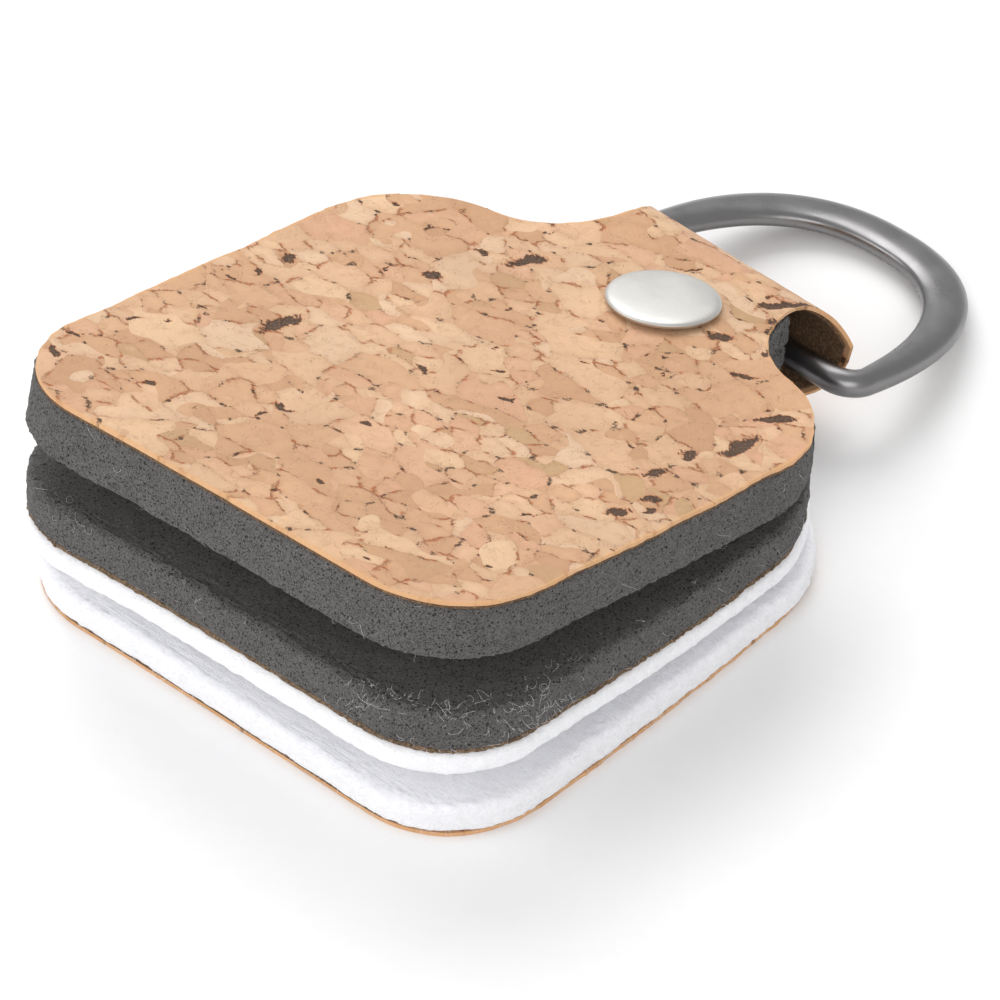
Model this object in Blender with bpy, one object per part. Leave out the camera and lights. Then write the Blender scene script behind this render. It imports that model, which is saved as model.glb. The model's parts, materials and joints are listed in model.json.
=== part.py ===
"""Folding cleaning pad: soft leaves in a folded cork cover, riveted at a neck and hung on a D-ring.

The pad lies flat on its cork bottom panel. Above it fan out, like the pages of a book, a middle
leaf (foam, divider, felt) and a top leaf (cork, foam). All layers run on into a short neck, where
one rivet squeezes them, and the cork cover folds round the bar of the D-ring there. The leaves
flex along a straight line just in front of the rivet, so each of them is split at that line.

Units are metres. X is across the pad, +Y points from the pad to the D-ring, and Z is up. The
origin is the centre of the square part of the bottom panel, on its underside.
"""

import math

import bmesh
import bpy
from mathutils import Vector

MM = 0.001

# Outline of the square leaves and of the neck, seen flat
SIDE = 50.0 * MM
CORNER_RADIUS = 9.4 * MM
NOTCH_DEPTH = 8.6 * MM
NOTCH_REACH = 9.4 * MM
NOTCH_CENTRE_X = 17.5 * MM
NOTCH_CENTRE_Y = 33.0 * MM
SHOULDER_Y = 23.65 * MM
CORNER_STEPS = 8

# The line along which the leaves flex, and the slits in the pads there
FLEX_Y = 19.5 * MM
FLEX_TOP_Z = 14.35 * MM
LEAF_END_Y = 19.0 * MM
TAB_START_Y = 20.1 * MM
TAB_END_Y = 30.9 * MM

# Thickness of each layer at the front edge and, squeezed a little, at the flex line
CORK_THICKNESS = 0.6 * MM
DIVIDER_THICKNESS = 0.5 * MM
TOP_FOAM = (4.9 * MM, 4.6 * MM)
MIDDLE_FOAM = (3.6 * MM, 3.1 * MM)
UPPER_FELT = (2.2 * MM, 1.7 * MM)
LOWER_FELT_IN_NECK = 1.15 * MM
GLUE_LINE = 0.15 * MM

# How far the leaves fan open at rest
TOP_LEAF_TILT = math.radians(12.1)
MIDDLE_LEAF_TILT = math.radians(4.8)
MIDDLE_LEAF_TOP_Z = 8.65 * MM
LOWER_FELT_TOP_Z = (3.15 * MM, 2.75 * MM)

# Fold of the cork round the bar, and the lift of the bottom panel towards the neck
FOLD_CENTRE = Vector((31.9 * MM, 7.4 * MM))
FOLD_RADIUS = 3.4 * MM
FOLD_STEPS = 16
LIFT_START_Y = 14.0 * MM
LIFT_END = Vector((21.0 * MM, 1.5 * MM))

# Rivet
RIVET_Y = 24.5 * MM
RIVET_CAP_RADIUS = 4.7 * MM
RIVET_CAP_HEIGHT = 1.15 * MM
RIVET_CAP_GAP = 0.3 * MM
RIVET_SOCKET_RADIUS = 2.0 * MM
RIVET_SOCKET_DEPTH = 0.55 * MM
RIVET_BACK_RADIUS = 3.5 * MM
RIVET_BACK_Z = (0.1 * MM, 0.9 * MM)
RIVET_POST_RADIUS = 1.3 * MM
RIVET_POST_TOP_Z = 13.35 * MM
RIVET_HOLE_RADIUS = 1.65 * MM
ROUND_STEPS = 32

# D-ring: its bar lies along X at the origin of the ring's object
RING_BAR = Vector((0.0, 32.6 * MM, 6.1 * MM))
RING_DROOP = math.radians(12.0)
RING_HALF_WIDTH = 12.9 * MM
RING_LENGTH = 20.2 * MM
RING_CORNER = 2.0 * MM
RING_SQUARENESS = 0.84
BAR_DIAMETER = 2.4 * MM
BAND_WIDTH = 3.7 * MM
BAND_THICKNESS = 2.2 * MM
RING_SECTION_SIDES = 12
RING_BOW_STEPS = 36
RING_CORNER_STEPS = 4

HALF = SIDE / 2
CORNER_CENTRE = HALF - CORNER_RADIUS
SHOULDER_CENTRE = SHOULDER_Y - CORNER_RADIUS


def clear_scene():
    """Remove every object that the scene holds."""
    for old in list(bpy.data.objects):
        bpy.data.objects.remove(old, do_unlink=True)


def make_material(name, colour, roughness, metallic=0.0):
    """Return a Principled material."""
    material = bpy.data.materials.new(name)
    material.use_nodes = True
    shader = material.node_tree.nodes["Principled BSDF"]
    shader.inputs["Base Color"].default_value = (*colour, 1.0)
    shader.inputs["Roughness"].default_value = roughness
    shader.inputs["Metallic"].default_value = metallic
    return material


def add_object(name, mesh, material, parent=None):
    """Link a mesh as a named object, with its material and, if it moves, its parent."""
    piece = bpy.data.objects.new(name, mesh)
    bpy.context.scene.collection.objects.link(piece)
    mesh.materials.append(material)
    piece.parent = parent
    return piece


def add_pivot(name, location, rotation_x=0.0):
    """Add an empty on a joint's axis, which runs along X."""
    pivot = bpy.data.objects.new(name, None)
    pivot.location = location
    pivot.rotation_euler = (rotation_x, 0.0, 0.0)
    pivot.empty_display_size = 5.0 * MM
    bpy.context.scene.collection.objects.link(pivot)
    return pivot


def loft(name, rings):
    """Make one closed solid through rings of the same number of points, and cap both ends."""
    mesh = bpy.data.meshes.new(name)
    shape = bmesh.new()
    rows = [[shape.verts.new(point) for point in ring] for ring in rings]
    count = len(rows[0])
    for first, second in zip(rows, rows[1:]):
        for side in range(count):
            after = (side + 1) % count
            shape.faces.new((first[side], first[after], second[after], second[side]))
    shape.faces.new(reversed(rows[0]))
    shape.faces.new(rows[-1])
    bmesh.ops.recalc_face_normals(shape, faces=shape.faces)
    shape.to_mesh(mesh)
    shape.free()
    return mesh


def front_corner_stations():
    """Distances along the leaf through its front corners, from the front edge."""
    steps = range(CORNER_STEPS, -1, -1)
    angles = [math.pi / 2 * step / CORNER_STEPS for step in steps]
    return [-CORNER_CENTRE - CORNER_RADIUS * math.sin(angle) for angle in angles]


def rear_corner_stations(start, end):
    """Distances along the leaf through its rear corners and notches, between two limits."""
    angles = [math.pi / 2 * step / CORNER_STEPS for step in range(CORNER_STEPS + 1)]
    corner = [SHOULDER_CENTRE + CORNER_RADIUS * math.sin(angle) for angle in angles]
    notch = [NOTCH_CENTRE_Y - NOTCH_REACH * math.cos(angle) for angle in angles]
    corner_end = NOTCH_CENTRE_Y - NOTCH_REACH
    stations = [y for y in corner if y < corner_end] + notch
    return [start, *(y for y in stations if start < y < end), end]


def half_width(along):
    """Half width of the outline at a distance along the flat strip from the leaf's centre."""
    notch_offset = abs(along - NOTCH_CENTRE_Y)
    if along > 0 and notch_offset < NOTCH_REACH:
        return NOTCH_CENTRE_X - NOTCH_DEPTH * math.sqrt(1 - (notch_offset / NOTCH_REACH) ** 2)
    past_corner = max(0.0, along - SHOULDER_CENTRE, -along - CORNER_CENTRE)
    return CORNER_CENTRE + math.sqrt(max(0.0, CORNER_RADIUS**2 - past_corner**2))


def mix(start, end, share):
    """Value part of the way from start to end."""
    return start + (end - start) * share


def front_share(along):
    """0 at the flex line and 1 at the front edge."""
    return (FLEX_Y - along) / (FLEX_Y + HALF)


def tapered(thickness, along):
    """Thickness of a layer that is squeezed towards the flex line."""
    return mix(thickness[1], thickness[0], front_share(along))


def slab(name, stations, low, high, origin_y=0.0):
    """Solid between two heights that depend on the distance along the leaf."""
    rings = []
    for along in stations:
        width = half_width(along)
        y = along - origin_y
        rings.append(
            [
                (-width, y, low(along)),
                (width, y, low(along)),
                (width, y, high(along)),
                (-width, y, high(along)),
            ]
        )
    return loft(name, rings)


def fold_tangent(point, upper):
    """Angle of the line from a point that touches the fold, and the angle where it touches."""
    to_centre = FOLD_CENTRE - point
    towards = math.atan2(to_centre.y, to_centre.x)
    spread = math.asin(FOLD_RADIUS / to_centre.length)
    line = towards + spread if upper else towards - spread
    touch = line + math.pi / 2 if upper else line - math.pi / 2
    return line, touch


FLEX_CORK = Vector((FLEX_Y, FLEX_TOP_Z - CORK_THICKNESS / 2))
UPPER_LINE, UPPER_TOUCH = fold_tangent(FLEX_CORK, upper=True)
LOWER_LINE, LOWER_TOUCH = fold_tangent(LIFT_END, upper=False)
FOLD_TOP_Y = FOLD_CENTRE.x + FOLD_RADIUS * math.cos(UPPER_TOUCH)
FOLD_BOTTOM_Y = FOLD_CENTRE.x + FOLD_RADIUS * math.cos(LOWER_TOUCH)


def upper_cork_z(y):
    """Height of the middle of the cork on top of the neck."""
    return FLEX_CORK.y + (y - FLEX_Y) * math.tan(UPPER_LINE)


def lower_cork_z(y):
    """Height of the middle of the cork under the pad and the neck."""
    if y <= LIFT_START_Y:
        return CORK_THICKNESS / 2
    if y <= LIFT_END.x:
        lift = (y - LIFT_START_Y) / (LIFT_END.x - LIFT_START_Y)
        return mix(CORK_THICKNESS / 2, LIFT_END.y, lift)
    return LIFT_END.y + (y - LIFT_END.x) * math.tan(LOWER_LINE)


def cover_path():
    """Middle line of the cork from the flex line round the bar to the front of the bottom panel.

    Each station is (distance along the flat strip, y, z).
    """
    upper = [Vector((y, upper_cork_z(y))) for y in rear_corner_stations(TAB_START_Y, FOLD_TOP_Y)]
    angles = [mix(UPPER_TOUCH, LOWER_TOUCH, step / FOLD_STEPS) for step in range(1, FOLD_STEPS)]
    fold = [FOLD_CENTRE + FOLD_RADIUS * Vector((math.cos(a), math.sin(a))) for a in angles]
    half_fold = len(fold) // 2
    rear = rear_corner_stations(LIFT_END.x, FOLD_BOTTOM_Y)
    lift = rear_corner_stations(LIFT_START_Y, LIFT_END.x)[:-1]
    flat = front_corner_stations() + [CORNER_CENTRE * share for share in (-1 / 3, 1 / 3)]
    lower = [Vector((y, lower_cork_z(y))) for y in (flat + lift + rear)]
    top_side = measured(upper + fold[: half_fold + 1], TAB_START_Y)
    bottom_side = measured(lower + fold[:half_fold:-1], -HALF)
    return top_side + bottom_side[::-1]


def measured(points, start):
    """Add to each point its distance along the strip; the square's own lift is too low to count."""
    stations = []
    along = start
    last = points[0]
    for point in points:
        step = (point - last).length if point.x > FLEX_Y else point.x - last.x
        along += step
        stations.append((along, point.x, point.y))
        last = point
    return stations


def cover_base():
    """The cork from the top flex line, round the bar, to the whole bottom panel."""
    path = cover_path()
    rings = []
    for index, (along, y, z) in enumerate(path):
        before = path[max(index - 1, 0)]
        after = path[min(index + 1, len(path) - 1)]
        run = Vector((after[1] - before[1], after[2] - before[2])).normalized()
        out_y, out_z = -run.y * CORK_THICKNESS / 2, run.x * CORK_THICKNESS / 2
        width = half_width(along)
        rings.append(
            [
                (-width, y - out_y, z - out_z),
                (width, y - out_y, z - out_z),
                (width, y + out_y, z + out_z),
                (-width, y + out_y, z + out_z),
            ]
        )
    return loft("cork_cover_base", rings)


def stack_height(y, share):
    """Height in the neck between the two corks: 0 on the lower cork and 1 under the upper cork."""
    clear = CORK_THICKNESS / 2 + GLUE_LINE
    return mix(lower_cork_z(y) + clear, upper_cork_z(y) - clear, share)


def tab_shares():
    """Lower and upper share of the neck's height for each layer, bottom to top."""
    thicknesses = [LOWER_FELT_IN_NECK, UPPER_FELT[1], DIVIDER_THICKNESS, MIDDLE_FOAM[1], TOP_FOAM[1]]
    gaps = [2 * GLUE_LINE, GLUE_LINE, GLUE_LINE, 2 * GLUE_LINE]
    total = sum(thicknesses) + sum(gaps)
    shares = []
    height = 0.0
    for thickness, gap in zip(thicknesses, [*gaps, 0.0]):
        shares.append((height / total, (height + thickness) / total))
        height += thickness + gap
    return shares


def rivet_hole(piece):
    """Drill the rivet's hole through a piece."""
    bpy.ops.mesh.primitive_cylinder_add(
        vertices=ROUND_STEPS,
        radius=RIVET_HOLE_RADIUS,
        depth=FLEX_TOP_Z * 2,
        location=(0.0, RIVET_Y, FLEX_TOP_Z / 2),
    )
    cutter = bpy.context.object
    cutter.name = piece.name + "_hole_cutter"
    cutter.hide_render = True
    cutter.display_type = "WIRE"
    hole = piece.modifiers.new("Rivet hole", "BOOLEAN")
    hole.operation = "DIFFERENCE"
    hole.object = cutter


def turned(name, profile):
    """Solid turned about Z from a profile of (radius, z), its outer side listed top to bottom."""
    mesh = bpy.data.meshes.new(name)
    shape = bmesh.new()
    verts = [shape.verts.new((radius, 0.0, z)) for radius, z in profile]
    edges = [shape.edges.new(pair) for pair in zip(verts, verts[1:])]
    bmesh.ops.spin(
        shape,
        geom=verts + edges,
        cent=(0.0, 0.0, 0.0),
        axis=(0.0, 0.0, 1.0),
        angle=math.tau,
        steps=ROUND_STEPS,
        use_merge=True,
    )
    bmesh.ops.remove_doubles(shape, verts=shape.verts, dist=0.001 * MM)
    bmesh.ops.recalc_face_normals(shape, faces=shape.faces)
    shape.to_mesh(mesh)
    shape.free()
    mesh.shade_smooth()
    mesh.set_sharp_from_angle(angle=math.radians(40))
    return mesh


def rivet_cap_mesh():
    """Domed cap with a shallow socket underneath, its seat at z = 0."""
    dome = []
    rim_height = 0.35 * RIVET_CAP_HEIGHT
    for step in range(7):
        angle = math.pi / 2 * step / 6
        radius = RIVET_CAP_RADIUS * math.sin(angle)
        dome.append((radius, rim_height + (RIVET_CAP_HEIGHT - rim_height) * math.cos(angle)))
    underside = [
        (RIVET_CAP_RADIUS, 0.1 * MM),
        (RIVET_CAP_RADIUS - 0.15 * MM, 0.0),
        (RIVET_SOCKET_RADIUS, 0.0),
        (RIVET_SOCKET_RADIUS, RIVET_SOCKET_DEPTH),
        (0.0, RIVET_SOCKET_DEPTH),
    ]
    return turned("rivet_cap", dome + underside)


def rivet_post_mesh():
    """Flat back and post in one piece, standing upright."""
    low, high = RIVET_BACK_Z
    edge = 0.15 * MM
    profile = [
        (0.0, RIVET_POST_TOP_Z),
        (RIVET_POST_RADIUS - edge, RIVET_POST_TOP_Z),
        (RIVET_POST_RADIUS, RIVET_POST_TOP_Z - edge),
        (RIVET_POST_RADIUS, high),
        (RIVET_BACK_RADIUS - edge, high),
        (RIVET_BACK_RADIUS, high - edge),
        (RIVET_BACK_RADIUS, low + 2 * edge),
        (RIVET_BACK_RADIUS - 2 * edge, low),
        (0.0, low),
    ]
    return turned("rivet_post", profile)


def ring_centre_line():
    """Centre line of the D-ring in its own plane, as (x, y, bow) with bow from 0 at the bar to 1."""
    points = []
    for step in range(RING_BOW_STEPS + 1):
        turn = math.pi * step / RING_BOW_STEPS
        across, out = math.cos(turn), math.sin(turn)
        x = RING_HALF_WIDTH * math.copysign(abs(across) ** RING_SQUARENESS, across)
        y = RING_CORNER + (RING_LENGTH - RING_CORNER) * abs(out) ** RING_SQUARENESS
        points.append((x, y, abs(out)))
    corner_x = RING_HALF_WIDTH - RING_CORNER
    for side in (-1, 1):
        turns = range(1, RING_CORNER_STEPS + 1) if side < 0 else range(RING_CORNER_STEPS, 0, -1)
        for step in turns:
            angle = math.pi / 2 * step / RING_CORNER_STEPS
            x = side * (corner_x + RING_CORNER * math.cos(angle))
            points.append((x, RING_CORNER * (1 - math.sin(angle)), 0.0))
    return points


def ring_mesh():
    """Sweep an oval section round the D-shaped centre line and join its ends."""
    line = ring_centre_line()
    count = len(line)
    mesh = bpy.data.meshes.new("d_ring")
    shape = bmesh.new()
    rows = []
    for index, (x, y, bow) in enumerate(line):
        before, after = line[index - 1], line[(index + 1) % count]
        run = Vector((after[0] - before[0], after[1] - before[1])).normalized()
        width = mix(BAR_DIAMETER, BAND_WIDTH, bow) / 2
        thickness = mix(BAR_DIAMETER, BAND_THICKNESS, bow) / 2
        row = []
        for side in range(RING_SECTION_SIDES):
            angle = math.tau * side / RING_SECTION_SIDES
            reach = width * math.cos(angle)
            row.append(
                shape.verts.new((x + run.y * reach, y - run.x * reach, thickness * math.sin(angle)))
            )
        rows.append(row)
    for index, row in enumerate(rows):
        following = rows[(index + 1) % count]
        for side in range(RING_SECTION_SIDES):
            after = (side + 1) % RING_SECTION_SIDES
            shape.faces.new((row[side], row[after], following[after], following[side]))
    bmesh.ops.recalc_face_normals(shape, faces=shape.faces)
    shape.to_mesh(mesh)
    shape.free()
    mesh.shade_smooth()
    return mesh


def leaf_stations():
    """Stations of a moving leaf, from its front edge to the slit at the flex line."""
    return front_corner_stations() + rear_corner_stations(SHOULDER_CENTRE, LEAF_END_Y)


def build_top_leaf(cork, foam):
    """Cork panel and the foam glued under it, on the pivot of the top leaf."""
    pivot = add_pivot("top_leaf_pivot", (0.0, FLEX_Y, FLEX_TOP_Z), -TOP_LEAF_TILT)
    stations = leaf_stations()
    panel = slab("cork_top_panel", stations, lambda a: -CORK_THICKNESS, lambda a: 0.0, FLEX_Y)
    add_object("cork_top_panel", panel, cork, pivot)
    foam_top = -CORK_THICKNESS - GLUE_LINE
    pad = slab(
        "top_foam_pad",
        stations,
        lambda a: foam_top - tapered(TOP_FOAM, a),
        lambda a: foam_top,
        FLEX_Y,
    )
    add_object("top_foam_pad", pad, foam, pivot)


def build_middle_leaf(foam, board, felt):
    """Foam, divider and felt of the middle leaf, on a pivot at the same flex line."""
    pivot = add_pivot("middle_leaf_pivot", (0.0, FLEX_Y, FLEX_TOP_Z), -MIDDLE_LEAF_TILT)
    stations = leaf_stations()
    foam_top = (MIDDLE_LEAF_TOP_Z - FLEX_TOP_Z) * math.cos(MIDDLE_LEAF_TILT)

    def foam_low(along):
        return foam_top - tapered(MIDDLE_FOAM, along)

    def divider_high(along):
        return foam_low(along) - GLUE_LINE

    def divider_low(along):
        return divider_high(along) - DIVIDER_THICKNESS

    def felt_high(along):
        return divider_low(along) - GLUE_LINE

    def felt_low(along):
        return felt_high(along) - tapered(UPPER_FELT, along)

    layers = (
        ("middle_foam_pad", foam_low, lambda along: foam_top, foam),
        ("divider_sheet", divider_low, divider_high, board),
        ("upper_felt_pad", felt_low, felt_high, felt),
    )
    for name, low, high, material in layers:
        add_object(name, slab(name, stations, low, high, FLEX_Y), material, pivot)


def build_base(cork, foam, board, felt):
    """The cork base with its fold, the lower felt, and the tabs of the other layers in the neck."""
    rivet_hole(add_object("cork_cover_base", cover_base(), cork))
    shares = tab_shares()
    tab_stations = rear_corner_stations(TAB_START_Y, TAB_END_Y)

    def felt_low(along):
        return lower_cork_z(along) + CORK_THICKNESS / 2 + GLUE_LINE

    def felt_high(along):
        if along <= FLEX_Y:
            front, flex = LOWER_FELT_TOP_Z
            return mix(flex, front, front_share(along))
        return stack_height(along, shares[0][1])

    felt_stations = front_corner_stations() + rear_corner_stations(LIFT_START_Y, FLEX_Y)
    felt_mesh = slab("lower_felt_pad", felt_stations + tab_stations, felt_low, felt_high)
    rivet_hole(add_object("lower_felt_pad", felt_mesh, felt))

    tabs = (
        ("upper_felt_tab", felt),
        ("divider_tab", board),
        ("middle_foam_tab", foam),
        ("top_foam_tab", foam),
    )
    for (name, material), (low_share, high_share) in zip(tabs, shares[1:]):
        tab = slab(
            name,
            tab_stations,
            lambda along, share=low_share: stack_height(along, share),
            lambda along, share=high_share: stack_height(along, share),
        )
        rivet_hole(add_object(name, tab, material))


def build_rivet(steel):
    """Back with its post through the neck, and the cap lying flat on the sloping cork."""
    post = add_object("rivet_post", rivet_post_mesh(), steel)
    post.location = (0.0, RIVET_Y, 0.0)
    cap = add_object("rivet_cap", rivet_cap_mesh(), steel)
    lift = CORK_THICKNESS / 2 + RIVET_CAP_GAP
    seat_y = RIVET_Y - lift * math.sin(UPPER_LINE)
    seat_z = upper_cork_z(RIVET_Y) + lift * math.cos(UPPER_LINE)
    cap.location = (0.0, seat_y, seat_z)
    cap.rotation_euler = (UPPER_LINE, 0.0, 0.0)


def build_ring(metal):
    """The D-ring, turning on its bar and drooping a little."""
    ring = add_object("d_ring", ring_mesh(), metal)
    ring.location = RING_BAR
    ring.rotation_euler = (-RING_DROOP, 0.0, 0.0)


def main():
    clear_scene()
    cork = make_material("cork", (0.62, 0.38, 0.22), 0.75)
    foam = make_material("foam", (0.09, 0.09, 0.095), 0.95)
    board = make_material("board", (0.33, 0.21, 0.12), 0.85)
    felt = make_material("felt", (0.82, 0.82, 0.85), 0.95)
    steel = make_material("steel", (0.75, 0.74, 0.72), 0.35, 1.0)
    gunmetal = make_material("gunmetal", (0.16, 0.16, 0.17), 0.3, 1.0)
    build_base(cork, foam, board, felt)
    build_middle_leaf(foam, board, felt)
    build_top_leaf(cork, foam)
    build_rivet(steel)
    build_ring(gunmetal)


main()
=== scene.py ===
"""Looks of the folding cleaning pad: cork cover, foam and felt leaves, rivet and D-ring."""

import json
import math

import bpy
import numpy as np
from bpy.props import FloatProperty, FloatVectorProperty, IntProperty, PointerProperty
from mathutils import Euler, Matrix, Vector, noise


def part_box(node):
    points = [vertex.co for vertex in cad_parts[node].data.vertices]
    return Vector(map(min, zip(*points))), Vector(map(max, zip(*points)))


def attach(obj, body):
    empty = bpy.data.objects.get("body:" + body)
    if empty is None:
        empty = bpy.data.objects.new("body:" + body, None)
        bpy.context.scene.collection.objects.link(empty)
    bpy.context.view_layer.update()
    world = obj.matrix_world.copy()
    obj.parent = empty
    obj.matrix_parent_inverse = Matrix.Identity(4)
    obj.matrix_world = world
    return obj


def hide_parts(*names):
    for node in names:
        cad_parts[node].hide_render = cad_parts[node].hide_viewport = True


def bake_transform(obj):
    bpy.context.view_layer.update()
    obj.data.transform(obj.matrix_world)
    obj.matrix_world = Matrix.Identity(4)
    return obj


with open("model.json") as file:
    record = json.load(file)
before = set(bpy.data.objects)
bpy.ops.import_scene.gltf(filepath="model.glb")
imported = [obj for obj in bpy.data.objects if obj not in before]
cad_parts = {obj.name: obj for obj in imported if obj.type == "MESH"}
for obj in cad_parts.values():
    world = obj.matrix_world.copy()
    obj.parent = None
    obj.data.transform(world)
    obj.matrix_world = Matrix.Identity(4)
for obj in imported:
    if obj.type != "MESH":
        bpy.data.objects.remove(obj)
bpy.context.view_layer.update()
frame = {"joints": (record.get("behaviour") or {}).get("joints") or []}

bl_info = {
    "name": "Folding Cleaning Pad",
    "version": (1, 0, 0),
    "blender": (4, 5, 0),
    "location": "View3D > Sidebar > Cleaning Pad",
    "description": "Builds a cork-covered pad with foam and felt leaves, a rivet and a D-ring",
    "category": "Add Mesh",
}

MM = 0.001
JOINTS = {joint["name"]: joint for joint in frame["joints"]}
HINGE_Y, HINGE_Z = JOINTS["top_leaf_flex"]["pos_m"][1:]
BAR = Vector(JOINTS["ring_swing"]["pos_m"])
PANEL_LOW, PANEL_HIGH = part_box("lower_felt_pad")
SIDE = PANEL_HIGH.x - PANEL_LOW.x

# Without a seed, the noise starts from the clock and each run gives another shape
noise.seed_set(5)


# ---------------------------------------------------------------- sizes and colours


def length(name, description, millimetres):
    """A length property with its default given in millimetres."""
    return FloatProperty(
        name=name, description=description, default=millimetres * MM, unit="LENGTH", precision=5
    )


def angle(name, description, degrees):
    """An angle property with its default given in degrees."""
    return FloatProperty(
        name=name, description=description, default=math.radians(degrees), subtype="ANGLE"
    )


def colour(name, description, value):
    """A colour property."""
    return FloatVectorProperty(
        name=name, description=description, default=value, subtype="COLOR", size=3, min=0, max=1
    )


class PadSizes(bpy.types.PropertyGroup):
    """Lengths and angles of the pad that a user may change."""

    corner: length("Corner radius", "Radius of the leaves' corners", 9.4)
    shoulder: length("Shoulder", "Distance of the rear shoulders from the pad's centre", 23.65)
    notch: length("Notch depth", "Depth of the hollow on each side of the neck", 8.6)
    notch_reach: length("Notch reach", "Half length of the hollow on each side of the neck", 9.4)
    notch_x: length("Notch place across", "Distance of a notch's centre from the middle", 17.5)
    notch_y: length("Notch place along", "Distance of a notch's centre from the pad's centre", 33.0)
    fold_y: length("Fold place", "Distance of the fold's centre from the pad's centre", 30.7)
    fold_z: length("Fold height", "Height of the fold's centre", 7.3)
    fold_radius: length("Fold radius", "Outer radius of the cork fold", 4.95)
    cork: length("Cork", "Thickness of the cork veneer", 0.36)
    backing: length("Backing", "Thickness of the cloth and glue behind the cork", 0.24)
    top_foam: length("Top foam", "Thickness of the top foam pad", 4.8)
    middle_foam: length("Middle foam", "Thickness of the middle foam pad", 3.7)
    divider: length("Divider", "Thickness of the divider", 0.38)
    upper_felt: length("Upper felt", "Thickness of the upper felt pad", 2.2)
    lower_felt: length("Lower felt", "Thickness of the lower felt pad", 2.45)
    top_tilt: angle("Top tilt", "How far the top leaf stands open", 12.1)
    middle_tilt: angle("Middle tilt", "How far the middle leaf stands open", 4.8)
    ring_droop: angle("Ring droop", "How far the D-ring hangs below level", 14.1)
    fineness: length("Fineness", "Spacing of the points along cut edges", 0.3)


class PadColours(bpy.types.PropertyGroup):
    """Colours of the pad's materials."""

    cork_light: colour("Light cork", "Pale flakes", (0.71, 0.47, 0.285))
    cork_warm: colour("Warm cork", "Peach flakes", (0.61, 0.355, 0.198))
    cork_deep: colour("Deep cork", "Darker tan flakes", (0.47, 0.25, 0.13))
    cork_bark: colour("Bark", "Dark streaks and pits", (0.075, 0.038, 0.02))
    cork_rust: colour("Rust", "Reddish seams between flakes", (0.45, 0.14, 0.045))
    # Backing tone: the cloth and glue's own brown, darkened as painted shade for the inside of the
    # fold and the line under the cork's edge
    backing: colour("Backing", "Cloth and glue behind the cork", (0.095, 0.055, 0.03))
    foam: colour("Foam", "Cell walls of the foam", (0.094, 0.089, 0.086))
    felt: colour("Felt", "White felt", (0.93, 0.93, 0.965))
    divider: colour("Divider", "Fibre divider", (0.22, 0.15, 0.095))
    rivet: colour("Rivet", "Satin nickel", (0.6, 0.59, 0.565))
    ring: colour("Ring", "Black nickel", (0.235, 0.23, 0.232))


# ---------------------------------------------------------------- shape of the leaves


def sizes():
    """The sizes in use."""
    return bpy.context.scene.pad_sizes


def half_width(along):
    """Half width of the die-cut outline at distances along the strip from the pad's centre."""
    size = sizes()
    centre = SIDE / 2 - size.corner
    past = np.maximum(along - size.shoulder + size.corner, -along - centre)
    past = np.clip(past, 0, size.corner)
    square = centre + np.sqrt(np.maximum(size.corner**2 - past**2, 0))
    off = np.minimum(np.abs(along - size.notch_y) / size.notch_reach, 1)
    neck = size.notch_x - size.notch * np.sqrt(1 - off**2)
    return np.where(along > size.notch_y - size.notch_reach, neck, square)


def stations(start, end, step):
    """Distances along the strip that are evenly spaced along its outline."""
    size = sizes()
    centre = SIDE / 2 - size.corner
    quarter = np.linspace(0, math.pi / 2, max(2, math.ceil(size.corner * 1.57 / step)))
    bend = np.linspace(0, math.pi, max(2, math.ceil(size.notch_reach * 3.14 / step)))
    places = np.concatenate(
        [
            -centre - size.corner * np.sin(quarter),
            np.arange(-centre, size.shoulder - size.corner, step),
            size.shoulder - size.corner + size.corner * np.sin(quarter),
            size.notch_y - size.notch_reach * np.cos(bend),
        ]
    )
    smallest = step * 0.02
    places = np.sort(places[(places > start + smallest) & (places < end - smallest)])
    kept = [start]
    for place in places:
        if place - kept[-1] > smallest:
            kept.append(place)
    return np.array([*kept, end])


def smooth(value, low, high):
    """0 below low, 1 above high, and a smooth rise between them."""
    share = np.clip((value - low) / (high - low), 0, 1)
    return share * share * (3 - 2 * share)


def rub_smooth(values, count):
    """Running mean that keeps both ends."""
    padded = np.concatenate([np.full(count, values[0]), values, np.full(count, values[-1])])
    return np.convolve(padded, np.ones(2 * count + 1) / (2 * count + 1), "valid")


def tangent_to_fold(y, z, side):
    """Slope of the line from a point that touches the fold, and the angle where it touches."""
    size = sizes()
    across, down = size.fold_y - y, size.fold_z - z
    slope = math.atan2(down, across) + side * math.asin(
        size.fold_radius / math.hypot(across, down)
    )
    return slope, slope + side * math.pi / 2


LIFT_START_Y = 14.0 * MM
LIFT_END = (21.0 * MM, 0.5 * MM)
PATH_STEP = 0.05 * MM


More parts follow.
